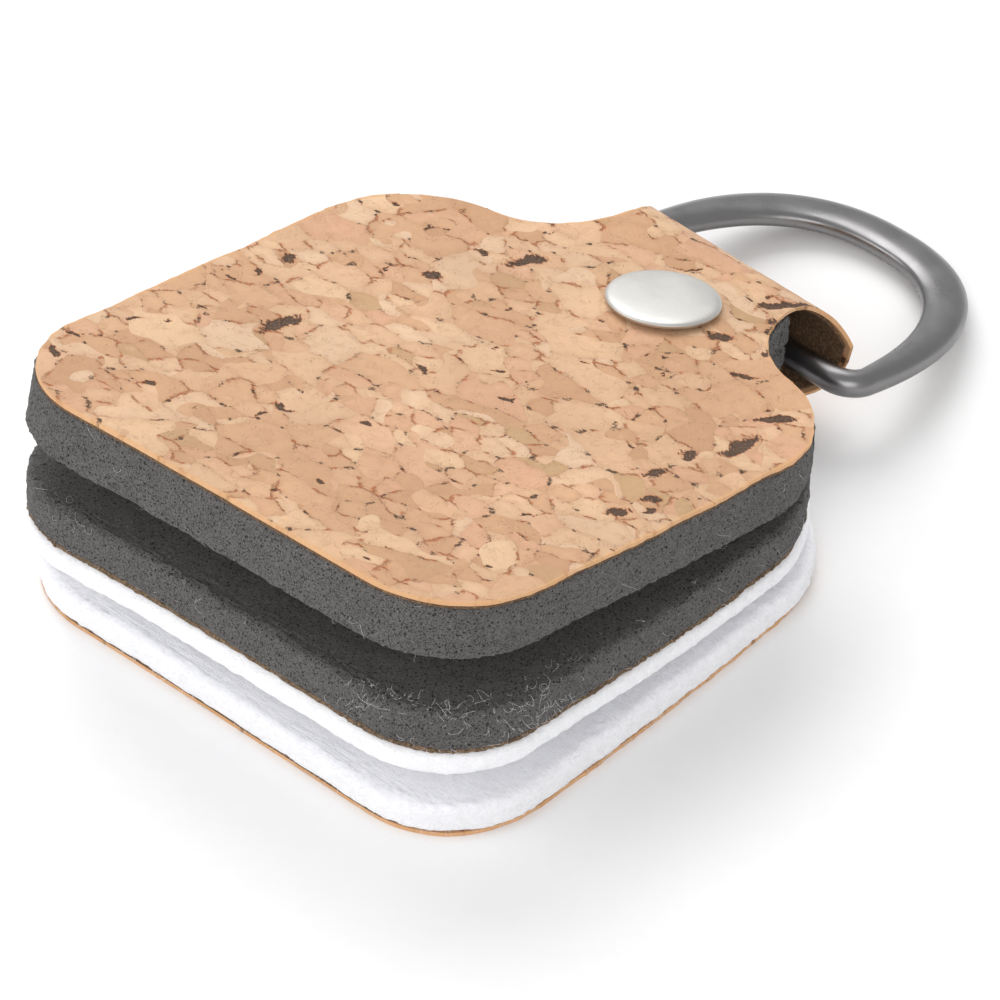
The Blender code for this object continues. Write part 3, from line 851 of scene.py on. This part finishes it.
SEAM_ALONG = 20.0 * MM
TAB_END = 31.4 * MM
ROOT_BEND = (22.5 * MM, 20.0 * MM)
TOP_BEND = (20.0 * MM, 15.5 * MM)
MIDDLE_BEND = (23.0 * MM, 17.0 * MM)


def bend_at(piece):
    """Bake a piece's placement into its mesh."""
    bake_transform(piece)


# Row spacing of the cover's long strip, as a share of the fineness
STRIP_SPACING = 1.3


def cork_skin(name, path, upper_start, lower_end, depths, material, layers=2):
    """Strip of cork or backing between two depths, from a place on top to one underneath."""
    step = sizes().fineness
    fold_along = HINGE_Y + path.fold
    upper = stations(upper_start, fold_along, step * STRIP_SPACING)
    lower = stations(lower_end, fold_along, step * STRIP_SPACING)[::-1]
    along = np.concatenate([upper, lower[1:]])
    walked = np.concatenate(
        [path.walked_at(upper, True), path.walked_at(lower[1:], False)]
    )
    columns = edge_columns(SIDE / 2, step, step if depths[0] == 0 else 1.5 * MM)
    piece = block(name, len(along) - 1, len(columns) - 1, layers)
    across, place, level, row, _ = pattern_places(piece, along, columns)
    outer, inner = depths
    inset = 0.1 * MM if depths[0] == 0 else 0.6 * MM
    x = across * (half_width(place) - inset) + edge_wear(across, walked[row])
    depth = inner + (outer - inner) * level + relief(x, HINGE_Y + walked[row]) * level
    y, z = path.point(walked[row], depth)
    points = np.column_stack([x, y, z])
    return piece, points, x, place, row, walked, row < len(upper)


class PAD_OT_cork(bpy.types.Operator):
    """Make the folded cork cover with its backing."""

    bl_idname = "pad.cork"
    bl_label = "Cork Cover"

    def execute(self, context):
        size = sizes()
        path = CoverPath()
        cork = cork_material()
        backing = backing_material()
        skin = size.cork + size.backing
        layers = (
            ("cork_strip", (0, size.cork), cork),
            ("backing_strip", (size.cork, skin), backing),
        )
        for name, depths, material in layers:
            piece, points, x, along, row, walked, on_top = cork_skin(
                name + "_base", path, SEAM_ALONG, -SIDE / 2, depths, material
            )
            points[on_top] = settle(points[on_top], along[on_top], "top")
            points[~on_top] = settle(points[~on_top], along[~on_top], "bottom")
            points[:, 2] = np.maximum(points[:, 2], 0)
            write_points(piece, points)
            add_strip_map(piece, x, HINGE_Y + walked[row])
            mark_cork(piece, x, HINGE_Y + walked[row], along)
            dress(piece, material)
            finish_smooth(piece, 40)
            bend_at(piece)
            rows = stations(-SIDE / 2, SEAM_ALONG, size.fineness)
            inside = size.fineness if depths[0] == 0 else 1.5 * MM
            columns = edge_columns(SIDE / 2, size.fineness, inside)
            panel = block(name + "_top_panel", len(rows) - 1, len(columns) - 1, 2)
            across, along, level, _, _ = pattern_places(panel, rows, columns)
            x = across * half_width(along) + edge_wear(across, along)
            outer, inner = depths
            depth = inner + (outer - inner) * level + relief(x, along) * level
            leaf_y, leaf_z = leaf_point(along, -depth, size.top_tilt)
            neck_y, neck_z = path.point(path.walked_at(along, True), depth)
            pinch = smooth(along, 15 * MM, 20 * MM)
            points = np.column_stack(
                [x, leaf_y + (neck_y - leaf_y) * pinch, leaf_z + (neck_z - leaf_z) * pinch]
            )
            write_points(panel, settle(points, along, "top"))
            add_strip_map(panel, x, along)
            mark_cork(panel, x, along, along)
            dress(panel, material)
            finish_smooth(panel, 40)
            bend_at(panel)
            if name == "cork_strip":
                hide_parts("cork_cover_base")
                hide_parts("cork_top_panel")
        return {"FINISHED"}


# Rounding of a layer's edges, size of its wear and grain of the wear
EDGES = {
    "top_foam": (0.3 * MM, 0.15 * MM, 0.4 * MM),
    "middle_foam": (0.6 * MM, 0.16 * MM, 0.4 * MM),
    "divider": (0.2 * MM, 0.16 * MM, 0.3 * MM),
    "upper_felt": (0.8 * MM, 0.12 * MM, 0.5 * MM),
    "lower_felt": (0.75 * MM, 0.12 * MM, 0.5 * MM),
}
LAYER_HEIGHT = {"top_foam": 4.8 * MM, "middle_foam": 3.7 * MM, "divider": 0.45 * MM,
                "upper_felt": 2.2 * MM, "lower_felt": 2.45 * MM}


def pad_piece(name, path, layer, start, end, wall_layers):
    """One layer of the stack between two places along the strip, laid in its leaf."""
    step = sizes().fineness
    rows = stations(start, end, step)
    columns = edge_columns(SIDE / 2, step, 1.0 * MM)
    piece = block(name, len(rows) - 1, len(columns) - 1, wall_layers)
    across, along, level, row, _ = pattern_places(piece, rows, columns)
    level = 0.5 - 0.5 * np.cos(math.pi * level)
    y, z = layer_surface(path, layer, level, along)
    rounding, wear, grain = EDGES[layer]
    low = level * (6 if layer == "lower_felt" else 1)
    near = 1 - np.minimum(np.minimum(low, 1 - level) * LAYER_HEIGHT[layer] / rounding, 1)
    inset = rounding * (1 - np.sqrt(1 - near**2))
    inset += {"lower_felt": -0.2 * MM, "upper_felt": -0.1 * MM, "divider": 0.12 * MM}.get(layer, 0)
    width = half_width(along)
    rim = smooth(np.abs(across) * width, width - 3 * MM, width)
    side = across * (width - inset * rim)
    front = smooth(-along, SIDE / 2 - 3 * MM, SIDE / 2)
    points = np.column_stack([side, y + inset * front, z])
    points = settle(points, along, LEAF_OF_LAYER[layer])
    edge = np.maximum(rim, front)
    points += roughen(points, wear, grain, len(name))[:, :3] * edge[:, None]
    points += roughen(points, wear * 0.6, grain * 6, len(name) + 3) * np.array([1, 1, 0.8])
    write_points(piece, points)
    return piece


class PAD_OT_foam(bpy.types.Operator):
    """Make the two foam pads with their tabs in the neck."""

    bl_idname = "pad.foam"
    bl_label = "Foam Pads"

    def execute(self, context):
        foam = foam_material()
        path = CoverPath()
        front = -SIDE / 2
        parts = (
            ("top_foam", "top_foam", front, SEAM_ALONG, "middle_leaf", "top_leaf", TOP_BEND,
             ("top_foam_pad",)),
            ("top_foam_neck", "top_foam", SEAM_ALONG, TAB_END, "root", "middle_leaf", ROOT_BEND,
             ("top_foam_tab",)),
            ("middle_foam", "middle_foam", front, TAB_END, "root", "middle_leaf", MIDDLE_BEND,
             ("middle_foam_pad", "middle_foam_tab")),
        )
        for name, layer, start, end, low, high, ends, nodes in parts:
            piece = pad_piece(name, path, layer, start, end, 12)
            dress(piece, foam)
            finish_smooth(piece, 40)
            bend_at(piece)
            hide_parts(*nodes)
        return {"FINISHED"}


class PAD_OT_divider(bpy.types.Operator):
    """Make the thin divider under the middle foam."""

    bl_idname = "pad.divider"
    bl_label = "Divider"

    def execute(self, context):
        board = divider_material()
        piece = pad_piece("divider", CoverPath(), "divider", -SIDE / 2, TAB_END, 2)
        dress(piece, board)
        finish_smooth(piece, 40)
        bend_at(piece)
        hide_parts("divider_sheet", "divider_tab")
        return {"FINISHED"}


class PAD_OT_felt(bpy.types.Operator):
    """Make the two felt pads."""

    bl_idname = "pad.felt"
    bl_label = "Felt Pads"

    def execute(self, context):
        felt = felt_material()
        path = CoverPath()
        upper = pad_piece("upper_felt", path, "upper_felt", -SIDE / 2, TAB_END, 10)
        bend_at(upper)
        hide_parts("upper_felt_pad", "upper_felt_tab")
        lower = pad_piece("lower_felt", path, "lower_felt", -SIDE / 2, TAB_END, 10)
        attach(lower, "root")
        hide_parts("lower_felt_pad")
        for piece in (upper, lower):
            dress(piece, felt)
            finish_smooth(piece, 50)
        return {"FINISHED"}


def turned(name, profile, around):
    """Turn a profile of (radius, height) into a closed piece by pulling a disc up ring by ring."""
    deselect()
    radius, height = profile[0]
    bpy.ops.mesh.primitive_circle_add(vertices=around, radius=radius, fill_type="NGON",
                                      location=(0, 0, 0))
    piece = bpy.context.object
    piece.name = piece.data.name = name
    bpy.ops.object.mode_set(mode="EDIT")
    bpy.ops.mesh.select_all(action="SELECT")
    for next_radius, next_height in profile[1:]:
        bpy.ops.mesh.extrude_region_move(
            TRANSFORM_OT_translate={"value": (0, 0, next_height - height)}
        )
        share = next_radius / radius
        bpy.ops.transform.resize(value=(share, share, 1))
        radius, height = next_radius, next_height
    bpy.ops.mesh.select_all(action="SELECT")
    bpy.ops.mesh.normals_make_consistent(inside=False)
    bpy.ops.object.mode_set(mode="OBJECT")
    return piece


def seat(piece, place, lean, roll):
    """Lean a turned piece about the X axis, roll it about Y and put its foot at a place."""
    turn = np.array(Euler((lean, roll, 0)).to_matrix())
    write_points(piece, read_points(piece) @ turn.T + np.array(place))


RIVET_AT = (2.1 * MM, 23.8 * MM)
CAP_PROFILE = ((4.25, 0), (4.6, 0.02), (4.7, 0.14), (4.72, 0.3), (4.64, 0.42), (4.45, 0.52),
               (4.1, 0.58), (3.6, 0.63), (2.9, 0.67), (2.1, 0.7), (1.2, 0.72), (0.4, 0.73))
BACK_PROFILE = ((3.2, 0), (3.45, 0.1), (3.5, 0.3), (3.4, 0.5), (3.0, 0.62), (1.32, 0.66),
                (1.3, 2.0), (1.3, 9.6), (1.2, 10.0))


class PAD_OT_rivet(bpy.types.Operator):
    """Make the rivet's domed cap, and its flat back with the post."""

    bl_idname = "pad.rivet"
    bl_label = "Rivet"

    def execute(self, context):
        steel = metal_material("satin nickel", context.scene.pad_colours.rivet, 0.42, 0.52,
                               (0.4, 3, 3))
        path = CoverPath()
        x, along = RIVET_AT
        for name, profile, upper, turn in (
            ("rivet_cap_finished", CAP_PROFILE, True, math.radians(-13.5)),
            ("rivet_back_finished", BACK_PROFILE, False, math.radians(8)),
        ):
            y, z = path.point(path.walked_at(along, upper), -0.02 * MM if upper else 0.42 * MM)
            piece = turned(name, [(r * MM, h * MM) for r, h in profile], 96)
            seat(piece, (x, y, z + (0.15 if upper else -0.62) * MM), turn,
                 math.radians(-5 if upper else 0))
            dress(piece, steel)
            finish_smooth(piece, 35)
            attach(piece, "root")
            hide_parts("rivet_cap" if upper else "rivet_post")
        return {"FINISHED"}


RING_HALF_WIDTH = 12.9 * MM
RING_LENGTH = 20.5 * MM
RING_CORNER = 2.2 * MM
RING_SQUARENESS = 0.86
RING_SHIFT = 1.5 * MM
BAR_WIDTH, BAND_WIDTH, BAND_THICKNESS = 2.3 * MM, 4.1 * MM, 1.8 * MM


def ring_line(share):
    """Centre line of the ring's D at shares of its way round: x, y and bow, 0 at the bar to 1."""
    bow_part = 0.66
    corner_part = 0.07
    straight = 1 - bow_part - 2 * corner_part
    turn = math.pi * np.clip(share / bow_part, 0, 1)
    across, out = np.cos(turn), np.sin(turn)
    x = RING_HALF_WIDTH * np.sign(across) * np.abs(across) ** RING_SQUARENESS
    y = RING_CORNER + (RING_LENGTH - RING_CORNER) * np.abs(out) ** RING_SQUARENESS
    first = (share > bow_part) & (share <= bow_part + corner_part)
    second = share > 1 - corner_part
    flat = (share > bow_part + corner_part) & ~second
    corner_x = RING_HALF_WIDTH - RING_CORNER
    angle = math.pi / 2 * (share - bow_part) / corner_part
    x = np.where(first, -corner_x - RING_CORNER * np.cos(angle), x)
    y = np.where(first, RING_CORNER * (1 - np.sin(angle)), y)
    run = (share - bow_part - corner_part) / straight
    x = np.where(flat, corner_x * (2 * run - 1), x)
    y = np.where(flat, 0, y)
    angle = math.pi / 2 * (1 - share) / corner_part
    x = np.where(second, corner_x + RING_CORNER * np.cos(angle), x)
    y = np.where(second, RING_CORNER * (1 - np.sin(angle)), y)
    return x, y, np.where(share < bow_part, np.abs(out) ** 0.7, 0)


class PAD_OT_ring(bpy.types.Operator):
    """Make the D-ring: a flattened bow that narrows into a round bar."""

    bl_idname = "pad.ring"
    bl_label = "D-Ring"

    def execute(self, context):
        size = sizes()
        metal = metal_material("black nickel", context.scene.pad_colours.ring, 0.27, 0.36,
                               (0.5, 2, 2))
        deselect()
        around, section = 288, 40
        bpy.ops.mesh.primitive_torus_add(major_segments=around, minor_segments=section,
                                         major_radius=1, minor_radius=0.3)
        piece = bpy.context.object
        piece.name = piece.data.name = "d_ring_finished"
        points = read_points(piece)
        share = np.arctan2(points[:, 1], points[:, 0]) / math.tau % 1.0
        share = np.round(share * around) / around % 1.0
        tilt = np.arctan2(points[:, 2], np.hypot(points[:, 0], points[:, 1]) - 1)
        x, y, bow = ring_line(share)
        ahead, behind = ring_line((share + 0.004) % 1.0), ring_line((share - 0.004) % 1.0)
        run = np.column_stack([ahead[0] - behind[0], ahead[1] - behind[1]])
        run /= np.linalg.norm(run, axis=1)[:, None]
        width = (BAR_WIDTH + (BAND_WIDTH - BAR_WIDTH) * bow) / 2
        thick = (BAR_WIDTH + (BAND_THICKNESS - BAR_WIDTH) * bow) / 2
        flatness = 1 - 0.28 * bow
        reach = width * np.sign(np.cos(tilt)) * np.abs(np.cos(tilt)) ** flatness
        height = thick * np.sign(np.sin(tilt)) * np.abs(np.sin(tilt)) ** flatness
        flat_x, flat_y = x + run[:, 1] * reach, y - run[:, 0] * reach
        cos, sin = math.cos(size.ring_droop), math.sin(size.ring_droop)
        write_points(piece, np.column_stack([
            BAR.x + RING_SHIFT + flat_x,
            BAR.y + flat_y * cos + height * sin,
            BAR.z - flat_y * sin + height * cos,
        ]))
        deselect()
        piece.select_set(True)
        bpy.context.view_layer.objects.active = piece
        bpy.ops.object.mode_set(mode="EDIT")
        bpy.ops.mesh.select_all(action="SELECT")
        bpy.ops.mesh.normals_make_consistent(inside=False)
        bpy.ops.object.mode_set(mode="OBJECT")
        dress(piece, metal)
        finish_smooth(piece, 50)
        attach(piece, "ring")
        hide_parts("d_ring")
        return {"FINISHED"}


# ---------------------------------------------------------------- lint


def fibres(name, roots, outward, length_range, radius, curl, seed):
    """Fine curled fibres that start at the given roots, as closed three-sided tubes."""
    chance = np.random.default_rng(seed)
    steps, count = 6, len(roots)
    way = outward + chance.normal(0, 0.7, (count, 3))
    way /= np.linalg.norm(way, axis=1)[:, None]
    axis = np.cross(way, chance.normal(0, 1, (count, 3)))
    axis /= np.linalg.norm(axis, axis=1)[:, None]
    bend = chance.normal(0, curl, count) + np.sign(chance.normal(0, 1, count)) * curl
    stride = chance.uniform(*length_range, count) / steps
    place = roots - way * 0.1 * MM
    rows = []
    for step in range(steps + 1):
        place[:, 2] = np.maximum(place[:, 2], radius)
        side = np.cross(way, axis)
        taper = radius * (1 - 0.5 * step / steps)
        rows.append(np.stack([
            place + taper * (axis * math.cos(turn) + side * math.sin(turn))
            for turn in (0, math.tau / 3, 2 * math.tau / 3)
        ], 1))
        cos, sin = np.cos(bend)[:, None], np.sin(bend)[:, None]
        way = way * cos + np.cross(axis, way) * sin
        axis = axis + chance.normal(0, 0.15, (count, 3))
        axis -= way * np.sum(axis * way, 1)[:, None]
        axis /= np.linalg.norm(axis, axis=1)[:, None]
        place = place + way * stride[:, None]
    points = np.stack(rows, 1).reshape(-1, 3)
    one = []
    for step in range(steps):
        for side in range(3):
            low, high = step * 3, step * 3 + 3
            after = (side + 1) % 3
            one.append((low + side, low + after, high + after, high + side))
    ends = [(2, 1, 0), (steps * 3, steps * 3 + 1, steps * 3 + 2)]
    size = (steps + 1) * 3
    faces = [tuple(index * size + v for v in face) for index in range(count)
             for face in one + ends]
    mesh = bpy.data.meshes.new(name)
    mesh.from_pydata(points.tolist(), [], faces)
    piece = bpy.data.objects.new(name, mesh)
    bpy.context.collection.objects.link(piece)
    deselect()
    piece.select_set(True)
    bpy.context.view_layer.objects.active = piece
    bpy.ops.object.mode_set(mode="EDIT")
    bpy.ops.mesh.select_all(action="SELECT")
    bpy.ops.mesh.normals_make_consistent(inside=False)
    bpy.ops.object.mode_set(mode="OBJECT")
    return piece


def rim_roots(piece, count, low, high, seed, corner_only=False):
    """Places on a layer's cut edge between two shares of its height, and the ways out of it."""
    chance = np.random.default_rng(seed)
    points = read_points(piece)
    half = half_width(np.clip(points[:, 1], -SIDE / 2, TAB_END))
    rim = (np.abs(points[:, 0]) > half - 1.4 * MM) | (points[:, 1] < points[:, 1].min() + 0.9 * MM)
    rim &= points[:, 1] < 21 * MM
    if corner_only:
        rim &= np.hypot(points[:, 0] - 24 * MM, points[:, 1] + 24 * MM) < 13 * MM
    rim = np.flatnonzero(rim)
    pick = points[chance.choice(rim, count)]
    out = np.zeros((count, 3))
    corner = SIDE / 2 - 9 * MM
    out[:, 0] = np.where(np.abs(pick[:, 0]) > corner, pick[:, 0] - np.sign(pick[:, 0]) * corner, 0)
    out[:, 1] = np.where(pick[:, 1] < -corner, pick[:, 1] + corner, 0)
    out /= np.maximum(np.linalg.norm(out, axis=1), 1e-6)[:, None]
    out[:, 2] = chance.uniform(low, high, count)
    return pick, out


class PAD_OT_lint(bpy.types.Operator):
    """Make the felt's fuzzy edges and the stray fibres on the foam."""

    bl_idname = "pad.lint"
    bl_label = "Lint"

    def execute(self, context):
        white = fibre_material()
        for name, pad, count, lengths, radius, curl in (
            ("upper_felt_fuzz", "upper_felt", 2200, (0.3 * MM, 0.9 * MM), 0.014 * MM, 0.3),
            ("lower_felt_fuzz", "lower_felt", 2200, (0.3 * MM, 0.9 * MM), 0.014 * MM, 0.3),
            ("middle_foam_lint", "middle_foam", 150, (0.6 * MM, 2.0 * MM), 0.011 * MM, 0.5),
            ("corner_lint", "middle_foam", 300, (0.6 * MM, 2.0 * MM), 0.012 * MM, 0.5),
            ("top_foam_lint", "top_foam", 60, (0.6 * MM, 2.2 * MM), 0.011 * MM, 0.5),
        ):
            roots, out = rim_roots(bpy.data.objects[pad], count, -0.6, 0.6, len(name) * 7,
                                   name == "corner_lint")
            piece = fibres(name, roots, out, lengths, radius, curl, len(name) * 13)
            dress(piece, white)
            if pad == "lower_felt":
                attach(piece, "root")
            elif pad == "top_foam":
                bend_at(piece)
            else:
                bend_at(piece)
        return {"FINISHED"}


# ---------------------------------------------------------------- stage


def soft_light(name, place, target, width, height, power):
    """A rectangular studio light that faces a point."""
    bpy.ops.object.light_add(type="AREA", location=place)
    light = bpy.context.object
    light.name = name
    light.data.shape = "RECTANGLE"
    light.data.size, light.data.size_y = width, height
    light.data.energy = power
    light.rotation_euler = (Vector(target) - Vector(place)).to_track_quat("-Z", "Y").to_euler()
    return light


class PAD_OT_stage(bpy.types.Operator):
    """Make the floor, the lights and the camera."""

    bl_idname = "pad.stage"
    bl_label = "Stage"

    def execute(self, context):
        deselect()
        scene = context.scene
        bpy.ops.mesh.primitive_plane_add(size=2.0, location=(0, 0, -0.02 * MM))
        floor = bpy.context.object
        floor.name = "floor"
        dress(floor, floor_material())
        middle = (0, 5 * MM, 8 * MM)
        soft_light("key", (-0.35, 0.25, 0.5), middle, 0.5, 0.5, 2.6)
        soft_light("fill", (0.45, -0.35, 0.35), middle, 0.5, 0.4, 1.5)
        soft_light("front", (-0.3, -0.45, 0.3), middle, 0.5, 0.4, 1.3)
        world = bpy.data.worlds.new("studio")
        scene.world = world
        world.use_nodes = True
        world.node_tree.nodes["Background"].inputs["Color"].default_value = (1, 1, 1, 1)
        world.node_tree.nodes["Background"].inputs["Strength"].default_value = 0.6
        azimuth, elevation, distance = math.radians(43.0), math.radians(42.2), 1.0
        back = Vector((
            math.sin(azimuth) * math.cos(elevation),
            -math.cos(azimuth) * math.cos(elevation),
            math.sin(elevation),
        ))
        turn = (-back).to_track_quat("-Z", "Y")
        right, up = turn @ Vector((1, 0, 0)), turn @ Vector((0, 1, 0))
        bpy.ops.object.camera_add(
            location=back * distance + right * 4.67 * MM + up * 5.06 * MM,
            rotation=turn.to_euler(),
        )
        camera = bpy.context.object
        camera.data.lens = 451.4
        camera.data.sensor_width = 36.0
        camera.data.clip_start, camera.data.clip_end = 0.05, 10.0
        scene.camera = camera
        scene.view_settings.view_transform = "Standard"
        return {"FINISHED"}


class PAD_PT_panel(bpy.types.Panel):
    """Buttons that build the pad."""

    bl_label = "Cleaning Pad"
    bl_idname = "PAD_PT_panel"
    bl_space_type = "VIEW_3D"
    bl_region_type = "UI"
    bl_category = "Cleaning Pad"

    def draw(self, context):
        for step in STEPS:
            self.layout.operator(step.bl_idname)


STEPS = (PAD_OT_stage, PAD_OT_cork, PAD_OT_foam, PAD_OT_divider, PAD_OT_felt, PAD_OT_rivet,
         PAD_OT_ring, PAD_OT_lint)
CLASSES = (PadSizes, PadColours, *STEPS, PAD_PT_panel)


def register():
    """Add the classes and their settings."""
    for each in CLASSES:
        bpy.utils.register_class(each)
    bpy.types.Scene.pad_sizes = PointerProperty(type=PadSizes)
    bpy.types.Scene.pad_colours = PointerProperty(type=PadColours)


def unregister():
    """Take the classes and their settings away."""
    del bpy.types.Scene.pad_colours
    del bpy.types.Scene.pad_sizes
    for each in reversed(CLASSES):
        bpy.utils.unregister_class(each)


def main():
    """Build the pad."""
    register()
    bpy.ops.pad.stage()
    bpy.ops.pad.cork()
    bpy.ops.pad.foam()
    bpy.ops.pad.divider()
    bpy.ops.pad.felt()
    bpy.ops.pad.rivet()
    bpy.ops.pad.ring()
    bpy.ops.pad.lint()


if __name__ == "__main__":
    main()
